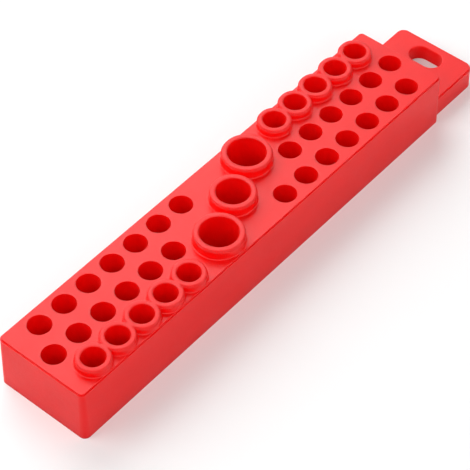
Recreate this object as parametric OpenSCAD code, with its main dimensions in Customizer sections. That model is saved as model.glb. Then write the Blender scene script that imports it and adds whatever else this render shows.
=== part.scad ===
// Bit rack: one moulded block with three rows of round pockets and a hanging tab at one end,
// closed from below by a flexible magnet strip that the bits stand on. Millimetres. The origin
// is the centre of the block's footprint on its base plane, +X runs along the rack towards the
// tab, +Z is up.

/* [Bit pockets] */
// Bore of a pocket for a quarter inch hex bit, which measures 7.33 across its corners
bit_d = 7.5; // [6.8:0.1:8]
// Distance between neighbouring pockets of a row
pitch = 10.2; // [10:0.1:12]
// Distance between the three rows
row_gap = 10.5; // [10.3:0.1:13]
// Distance from the middle of the rack to the first pocket of an outer row
first_x = 11.9; // [11.6:0.1:15]
// Flush pockets in each half of an outer row
outer_n = 7; // [7:1:9]
// Collared pockets in each half of the opposite outer row
collared_n = 5; // [2:1:5]
// Depth of a flush pocket, from the deck to the magnet strip
pocket_depth = 16.6; // [12:0.1:20]

/* [Holder pockets] */
// Bore of the pocket in the middle, for a narrow nut driver
middle_d = 10.9; // [9:0.1:11.5]
// Bore of the two pockets beside it, for wide nut drivers
wide_d = 12.3; // [10:0.1:12.6]
// Distance of a wide pocket from the middle, along the rack
wide_x = 15.2; // [15:0.1:15.6]
// Distance of a wide pocket from the middle, across the rack
wide_y = 7.4; // [6.8:0.1:7.6]

/* [Collars] */
// Wall of the collar round a bit pocket
collar_wall = 1.75; // [1.2:0.05:2]
// Height of that collar above the deck
collar_h = 2.65; // [1.5:0.05:4]
// Wall of the collar round a holder pocket
wide_collar_wall = 1.9; // [1.5:0.1:2]
// Height of that collar above the deck
wide_collar_h = 3.55; // [2:0.05:5]
// Fillet where a collar meets the deck
foot_r = 0.4; // [0.2:0.1:0.6]

/* [Block] */
// Wall between the outer rows and the long sides, at the deck
side_wall = 1.8; // [1.75:0.05:4]
// Wall between the last pockets and the ends, at the deck
end_wall = 1.95; // [1.5:0.05:6]
// Radius of the block's upright corners, at the deck
corner_r = 1.3; // [1:0.1:3]
// Draft of the moulded walls, in degrees
draft_angle = 1.4; // [0.5:0.1:2]
// Small round along the top edges
edge_r = 0.15; // [0.1:0.05:0.25]
// Drop from a top face or a rim to the narrow ledge that runs round it, where the mould's parts meet
ledge_drop = 0.55; // [0.4:0.05:1]
// Width of that ledge
ledge_w = 0.3; // [0.2:0.05:0.5]
// Round along the ledge's outer edge
ledge_r = 0.1; // [0.05:0.05:0.15]

/* [Hanging tab] */
// Length of the tab past the block's end
tab_l = 21.75; // [18:0.05:40]
// Width of the tab
tab_w = 29; // [24:0.5:30]
// Height of the tab's top face above the base
tab_h = 7.6; // [7:0.1:12]
// Radius of the tab's two outer corners, at its top face
tab_corner_r = 2.6; // [2:0.1:8]
// Depth of the relief under the tab, where a fingertip lifts the rack off steel
relief_h = 2.1; // [1:0.1:4]
// Width of the two rails beside the relief
rail_w = 3; // [2:0.1:6]
// Width of the hanging slot
slot_w = 7.6; // [5:0.1:9]
// Length of the hanging slot, end to end
slot_l = 11.8; // [10:0.1:18]
// Plastic between the slot and the tab's end
slot_wall = 2.7; // [2:0.1:6]
// Round along the slot's upper edge
slot_edge_r = 0.4; // [0.3:0.1:1.5]

/* [Magnet strip] */
// Thickness of the strip, which lies flush with the base
strip_t = 3; // [2:0.1:5]
// How far the strip reaches past the outermost pockets
strip_lap = 0.4; // [0.2:0.1:0.8]
// Clearance round the strip in its recess
strip_gap = 0.15; // [0.05:0.05:0.3]
// Radius of the strip's corners
strip_r = 1.5; // [1:0.1:3]

/* [Hidden] */
$fn = 64;
over = 1;
bit_r = bit_d / 2;
middle_n = outer_n - 1;
deck_z = strip_t + pocket_depth;
last_x = first_x + (middle_n + 0.5) * pitch;
deck_l = 2 * (last_x + bit_r + end_wall);
deck_w = 2 * (row_gap + bit_r + side_wall);
strip_l = 2 * (last_x + bit_r + strip_lap);
strip_w = 2 * (row_gap + bit_r + strip_lap);
tab_end = deck_l / 2 + tab_l;
slot_x = tab_end - slot_wall - slot_w / 2;
wall_foot = ledge_w + (deck_z - ledge_drop) * tan(draft_angle);
relief_x = deck_l / 2 + wall_foot + rail_w / 2;

// Pockets of one half, each as its place, its radius, its collar's wall and its collar's height
half_pockets = concat(
    [for (i = [0 : outer_n - 1]) [-first_x - i * pitch, row_gap, bit_r, 0, 0]],
    [for (i = [0 : middle_n - 1]) [-first_x - (i + 1.5) * pitch, 0, bit_r, 0, 0]],
    [for (i = [outer_n - 1 : -1 : outer_n - collared_n]) [-first_x - i * pitch, -row_gap, bit_r, collar_wall, collar_h]],
    [[-wide_x, -wide_y, wide_d / 2, wide_collar_wall, wide_collar_h]]
);
// The other half is the same, turned half a turn about the pocket in the middle
pockets = concat(
    half_pockets,
    [for (p = half_pockets) [-p[0], -p[1], p[2], p[3], p[4]]],
    [[0, 0, middle_d / 2, wide_collar_wall, wide_collar_h]]
);

// Points of a quarter round about a centre, from angle a to angle b
function arc(x, z, r, a, b, n = 6) =
    [for (i = [0 : n]) let (t = a + (b - a) * i / n) [x + r * cos(t), z + r * sin(t)]];

// Outline of a moulded wall: it leans in with the draft up to the ledge, then rises to the top face
function wall_outline(r, h) = concat(
    [[r + ledge_w + (h - ledge_drop) * tan(draft_angle), 0]],
    arc(r + ledge_w - ledge_r, h - ledge_drop - ledge_r, ledge_r, 0, 90),
    [[r, h - ledge_drop]],
    arc(r - edge_r, h - edge_r, edge_r, 0, 90)
);

// The same outline on both sides of a straight run
function both_sides(outline, half) = concat(
    [for (p = outline) [half + p[0], p[1]]],
    [for (i = [len(outline) - 1 : -1 : 0]) [-half - outline[i][0], outline[i][1]]]
);

// Straight run of a profile along X, centred
module run_along_x(l, outline) {
    rotate([90, 0, 90]) translate([0, 0, -l / 2]) linear_extrude(l) polygon(outline);
}

// Block with round upright corners, drafted walls and a fine ledge round its top face
module moulded_block(l, w, h, r) {
    outline = wall_outline(r, h);
    run_l = l - 2 * r;
    run_w = w - 2 * r;
    run_along_x(run_l, both_sides(outline, run_w / 2));
    rotate([0, 0, 90]) run_along_x(run_w, both_sides(outline, run_l / 2));
    for (corner = [[1, 1, 0], [-1, 1, 90], [-1, -1, 180], [1, -1, 270]])
        translate([corner[0] * run_l / 2, corner[1] * run_w / 2, 0])
            rotate([0, 0, corner[2]])
                rotate_extrude(angle = 90) polygon(concat([[0, 0]], outline, [[0, h]]));
}

// Raised collar round a pocket, with a fillet at its foot and the same ledge round its rim
module collar(r, h) {
    rotate_extrude() polygon(concat(
        [[0, -over], [r + foot_r, -over]],
        arc(r + foot_r, foot_r, foot_r, 270, 180),
        arc(r - ledge_r, h - ledge_drop - ledge_r, ledge_r, 0, 90),
        [[r - ledge_w, h - ledge_drop]],
        arc(r - ledge_w - edge_r, h - edge_r, edge_r, 0, 90),
        [[0, h]]
    ));
}

// Collars of all the pockets that have one, kept inside the line of the block's walls
module collars() {
    intersection() {
        for (p = pockets)
            if (p[4] > 0)
                translate([p[0], p[1], deck_z]) collar(p[2] + p[3], p[4]);
        cube([deck_l, deck_w, 2 * (deck_z + wide_collar_h + collar_h)], center = true);
    }
}

// Tab at the end, starting well inside the block
module tab() {
    root_l = tab_l + pitch;
    translate([tab_end - root_l / 2, 0, 0]) moulded_block(root_l, tab_w, tab_h, tab_corner_r);
}

// Slot through the tab, opened out along its upper edge
module slot() {
    r = slot_w / 2;
    run = slot_l - slot_w;
    outline = concat(
        [[r, -over]],
        arc(r + slot_edge_r, tab_h - slot_edge_r, slot_edge_r, 180, 90),
        [[r + slot_edge_r, tab_h + over]]
    );
    translate([slot_x, 0, 0]) {
        rotate([0, 0, 90]) run_along_x(run, both_sides(outline, 0));
        for (side = [1, -1])
            translate([0, side * run / 2, 0])
                rotate([0, 0, 90 - side * 90])
                    rotate_extrude(angle = 180) polygon(concat([[0, -over]], outline, [[0, tab_h + over]]));
    }
}

// Relief under the tab, between its two rails and open at the end
module relief() {
    translate([relief_x, rail_w - tab_w / 2, -over]) cube([tab_l, tab_w - 2 * rail_w, over + relief_h]);
}

// Round pockets, from their mouths right down to the magnet strip
module bores() {
    for (p = pockets)
        translate([p[0], p[1], strip_t - over]) cylinder(h = over + pocket_depth + p[4] + over, r = p[2]);
}

// Flat slab with round upright corners, centred
module slab(l, w, h, r) {
    translate([-l / 2, r - w / 2, 0]) cube([l, w - 2 * r, h]);
    translate([r - l / 2, -w / 2, 0]) cube([l - 2 * r, w, h]);
    for (x = [-1, 1], y = [-1, 1])
        translate([x * (l / 2 - r), y * (w / 2 - r), 0]) cylinder(h = h, r = r);
}

module strip_recess() {
    translate([0, 0, -over])
        slab(strip_l + 2 * strip_gap, strip_w + 2 * strip_gap, over + strip_t, strip_r + strip_gap);
}

// The moulding: block, collars and tab in one piece of red plastic
module rack_body() {
    color([0.93, 0.16, 0.15])
        difference() {
            union() {
                moulded_block(deck_l, deck_w, deck_z, corner_r);
                collars();
                tab();
            }
            bores();
            strip_recess();
            relief();
            slot();
        }
}

// Rubber bonded magnet, cut from sheet: its upper face is the floor of every pocket
module magnet_strip() {
    color([0.16, 0.15, 0.14]) slab(strip_l, strip_w, strip_t, strip_r);
}

rack_body();
magnet_strip();
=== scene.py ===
from math import cos, radians, sin

import bpy
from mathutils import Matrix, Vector

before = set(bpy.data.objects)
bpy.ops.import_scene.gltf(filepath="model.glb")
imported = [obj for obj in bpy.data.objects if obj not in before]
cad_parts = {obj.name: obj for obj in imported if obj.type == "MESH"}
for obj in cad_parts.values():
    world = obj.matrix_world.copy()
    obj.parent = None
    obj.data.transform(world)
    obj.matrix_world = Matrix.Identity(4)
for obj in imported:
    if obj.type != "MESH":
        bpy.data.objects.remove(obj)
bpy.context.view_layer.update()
scene = bpy.context.scene


# Camera
# A long lens looks down over the rack's plain end, so that its rows run away towards the tab.
# Its place in metres and its turn in degrees were solved from the rims of the pockets.
PHOTO_WIDTH = 470
FOCAL_LENGTH_IN_PIXELS = 1960.6
SENSOR_WIDTH = 36
CAMERA_PLACE = (-0.30828, -0.25808, 0.45365)
CAMERA_TURN = (41.7566, -0.2681, -49.8543)

camera = bpy.data.objects.new("camera", bpy.data.cameras.new("camera"))
scene.collection.objects.link(camera)
camera.data.sensor_width = SENSOR_WIDTH
camera.data.lens = SENSOR_WIDTH * FOCAL_LENGTH_IN_PIXELS / PHOTO_WIDTH
camera.location = CAMERA_PLACE
camera.rotation_euler = [radians(angle) for angle in CAMERA_TURN]
scene.camera = camera
scene.view_settings.view_transform = "Standard"


# Table and studio light
# A pale matt table under four soft lamps, which were set by comparing renders with the
# photograph. The table glows a little to the camera, so that it is white but keeps its shadow.
TABLE_SIZE = 4
TABLE_DROP = 0.00005
TABLE_PALENESS = 0.8
TABLE_GLOW = 0.22
LAMP_DISTANCE = 1.0
# Each lamp: direction from +X towards +Y, height in degrees, width, depth and watts
LAMPS = {
    "left_lamp": (140, 38, 0.8, 0.8, 5.2),
    "far_lamp": (62, 42, 0.8, 0.8, 8.3),
    "side_lamp": (-75, 12, 0.9, 0.36, 3.2),
    "near_lamp": (-138, 48, 0.8, 0.8, 4.0),
}


class Value:
    """A number, colour or vector in one material. Operators on it add Math nodes."""

    def __init__(self, tree, socket=None):
        self.tree, self.socket = tree, socket

    def node(self, kind, settings=(), inputs=(), output=0):
        """Any other node: its settings are set first, then its sockets get values or links."""
        made = self.tree.nodes.new(kind)
        for name, setting in dict(settings).items():
            setattr(made, name, setting)
        for name, value in dict(inputs).items():
            if isinstance(value, Value):
                self.tree.links.new(value.socket, made.inputs[name])
            else:
                made.inputs[name].default_value = value
        return Value(self.tree, made.outputs[output])

    def math(self, operation, *values):
        return self.node("ShaderNodeMath", {"operation": operation}, enumerate(values))

    def __add__(self, other):
        return self.math("ADD", self, other)

    __radd__ = __add__

    def __mul__(self, other):
        return self.math("MULTIPLY", self, other)

    __rmul__ = __mul__

    def __sub__(self, other):
        return self.math("SUBTRACT", self, other)

    def __rsub__(self, other):
        return self.math("SUBTRACT", other, self)

    def feed(self, node, name):
        """Link this value to a socket of a node."""
        self.tree.links.new(self.socket, node.inputs[name])


def new_material(name):
    """An empty material, a Value to add its nodes with, and its shader."""
    material = bpy.data.materials.new(name)
    material.use_nodes = True
    return material, Value(material.node_tree), material.node_tree.nodes["Principled BSDF"]


def seen_or_mirrored(surface):
    """1 for a ray from the camera or from a glossy or clear surface, and 0 for diffuse light."""
    kinds = ("Is Camera Ray", "Is Glossy Ray", "Is Transmission Ray")
    camera_ray, glossy_ray, clear_ray = (surface.node("ShaderNodeLightPath", output=kind) for kind in kinds)
    return surface.math("MAXIMUM", surface.math("MAXIMUM", camera_ray, glossy_ray), clear_ray)


bpy.ops.mesh.primitive_plane_add(size=TABLE_SIZE, location=(0, 0, -TABLE_DROP))
table = bpy.context.object
table.name = "table"

material, tabletop, unused_shader = new_material("pale_table")
tabletop.tree.nodes.remove(unused_shader)
paleness = (TABLE_PALENESS, TABLE_PALENESS, TABLE_PALENESS, 1)
lit = tabletop.node("ShaderNodeBsdfDiffuse", (), {"Color": paleness})
glow = tabletop.node("ShaderNodeEmission", (), {"Strength": TABLE_GLOW * seen_or_mirrored(tabletop)})
both = tabletop.node("ShaderNodeAddShader", (), {0: lit, 1: glow})
both.feed(tabletop.tree.nodes["Material Output"], "Surface")
table.data.materials.append(material)

scene.world = bpy.data.worlds.new("studio")
scene.world.use_nodes = True
background = scene.world.node_tree.nodes["Background"]
background.inputs["Color"].default_value = (1, 1, 1, 1)
seen_or_mirrored(Value(scene.world.node_tree)).feed(background, "Strength")

for name, (direction, height, width, depth, watts) in LAMPS.items():
    lamp = bpy.data.lights.new(name, "AREA")
    lamp.shape, lamp.size, lamp.size_y, lamp.energy = "RECTANGLE", width, depth, watts
    towards = Vector((
        cos(radians(direction)) * cos(radians(height)),
        sin(radians(direction)) * cos(radians(height)),
        sin(radians(height)),
    ))
    placed = bpy.data.objects.new(name, lamp)
    placed.location = towards * LAMP_DISTANCE
    placed.rotation_euler = towards.to_track_quat("Z", "Y").to_euler()
    scene.collection.objects.link(placed)


# Moulded body
# Block, collars and tab are one injection moulding in red ABS. The mould's faces are spark
# eroded, so the plastic has an even satin grain, handling has polished it a little along the
# edges and rims, and light sinks a millimetre or two into it. The edges and rims are also
# painted a lighter, pinker red, as a painted highlight.
RED = (0.98, 0.003, 0.003, 1)
DEEP_RED = (0.93, 0.002, 0.002, 1)
# A lighter, pinker red, painted along edges and rims as a highlight
EDGE_HIGHLIGHT_RED = (0.98, 0.012, 0.010, 1)
SATIN = 0.35
PLASTIC_GLOSS = 0.26
# How far light sinks in, for red, green and blue, in the unit below
SINK = (2.2, 0.25, 0.2)
MILLIMETRE = 0.001
# Just above the deck's own face, so that only the collars are higher
DECK = 0.01962
DECK_BLEND = 0.0002
COLLAR_FOOT = 0.0007
EDGE_WIDTH = 0.0008
GRAIN_SIZE = 0.00042
COARSE_GRAIN_SIZE = 0.0012
GRAIN_DEPTH = 0.000014
SPECKLE_SIZE = 0.0011
WEAR_SIZE = 0.006
HANDLED_SIZE = 0.014
FLOW_SIZE = 0.009
FLOW_STRETCH = 4


def rise(value, low, high):
    """A smooth step from 0 at low to 1 at high, which may be the lower number of the two."""
    levels = {"Value": value, "From Min": low, "From Max": high}
    return value.node("ShaderNodeMapRange", {"interpolation_type": "SMOOTHSTEP"}, levels)


def patches(place, size, low, high, detail=2):
    """Soft patches of about one size in metres, from 0 to 1: noise cut off below low and above high."""
    cloud = place.node("ShaderNodeTexNoise", (), {"Vector": place, "Scale": 1 / size, "Detail": detail})
    return rise(cloud, low, high)


def stretched(place, along):
    """The same place with the pattern drawn out along X."""
    return place.node("ShaderNodeMapping", (), {"Vector": place, "Scale": (1 / along, 1, 1)})


def blended(mask, where_0, where_1):
    """One colour where the mask is 0 and another where it is 1. A Mix node's colours are sockets 6 and 7."""
    return mask.node("ShaderNodeMix", {"data_type": "RGBA"}, {0: mask, 6: where_0, 7: where_1}, output=2)


def turned(mask, where_0, where_1):
    """The same for two normals. A Mix node's vectors are sockets 4 and 5."""
    return mask.node("ShaderNodeMix", {"data_type": "VECTOR"}, {0: mask, 4: where_0, 5: where_1}, output=1)


material, plastic, shader = new_material("satin_red_plastic")
place = plastic.node("ShaderNodeTexCoord", output="Object")
height = plastic.node("ShaderNodeSeparateXYZ", (), {0: place}, output="Z")
on_collar = rise(height, DECK, DECK + DECK_BLEND)
off_its_foot = rise(height, DECK + COLLAR_FOOT, DECK + 2 * COLLAR_FOOT)

# Fine grain all over. The real collars have rounder rims than the solids, so theirs are shaded round
grain = patches(place, GRAIN_SIZE, 0.25, 0.75) + 0.4 * patches(place, COARSE_GRAIN_SIZE, 0.3, 0.7)
grained = plastic.node("ShaderNodeBump", (), {"Distance": GRAIN_DEPTH, "Height": grain})
rounded = plastic.node("ShaderNodeBevel", {"samples": 5}, {"Radius": EDGE_WIDTH, "Normal": grained})
turned(on_collar, grained, rounded).feed(shader, "Normal")

# Edges are where the rounded normal leaves the true one; a collar's inner corner is left out.
# These edges get a lower roughness and, in patches, a painted highlight colour
true_normal = plastic.node("ShaderNodeNewGeometry", output="Normal")
normals = {0: rounded, 1: true_normal}
agreement = plastic.node("ShaderNodeVectorMath", {"operation": "DOT_PRODUCT"}, normals, output=1)
away_from_collar_foot = 1 - on_collar + off_its_foot
edge_polish_and_highlight = rise(agreement, 0.985, 0.80) * away_from_collar_foot * patches(place, WEAR_SIZE, 0.40, 0.62)

flow = patches(stretched(place, FLOW_STRETCH), FLOW_SIZE, 0.35, 0.65)
# Deeper red flow streaks, and along edges and rims, in patches, a painted highlight in the lighter, pinker
# red
blended(edge_polish_and_highlight * 0.5, blended(flow, RED, DEEP_RED), EDGE_HIGHLIGHT_RED).feed(shader, "Base Color")
handled = patches(place, HANDLED_SIZE, 0.40, 0.66, detail=4)
speckle = patches(place, SPECKLE_SIZE, 0.35, 0.65)
(SATIN + 0.04 * speckle - 0.03 * handled - 0.06 * edge_polish_and_highlight).feed(shader, "Roughness")
shader.inputs["Specular IOR Level"].default_value = PLASTIC_GLOSS
shader.inputs["Subsurface Weight"].default_value = 1.0
shader.inputs["Subsurface Radius"].default_value = SINK
shader.inputs["Subsurface Scale"].default_value = MILLIMETRE
body = bpy.data.objects["rack_body"]
body.data.materials.clear()
body.data.materials.append(material)


# Magnet strip
# Ferrite powder in rubber, rolled to a sheet, cut to size and glued flush into the underside.
# Rolling leaves faint streaks along it, and the powder shows as fine pale and dark specks.
RUBBER = (0.034, 0.031, 0.029, 1)
DUSTY_RUBBER = (0.082, 0.074, 0.067, 1)
RUBBER_ROUGHNESS = 0.52
RUBBER_GLOSS = 0.3
STREAK_SIZE = 0.0016
STREAK_STRETCH = 14
POWDER_SIZE = 0.0005
RELIEF = {"Strength": 0.5, "Distance": 0.00003}

material, rubber, shader = new_material("magnet_rubber")
place = rubber.node("ShaderNodeTexCoord", output="Object")
streaks = patches(stretched(place, STREAK_STRETCH), STREAK_SIZE, 0.38, 0.64)
powder = patches(place, POWDER_SIZE, 0.58, 0.74)
blended(0.35 * streaks + 0.5 * powder, RUBBER, DUSTY_RUBBER).feed(shader, "Base Color")
(RUBBER_ROUGHNESS + 0.10 * streaks + 0.12 * powder).feed(shader, "Roughness")
rubber.node("ShaderNodeBump", (), {**RELIEF, "Height": streaks + 0.6 * powder}).feed(shader, "Normal")
shader.inputs["Specular IOR Level"].default_value = RUBBER_GLOSS
strip = bpy.data.objects["magnet_strip"]
strip.data.materials.clear()
strip.data.materials.append(material)
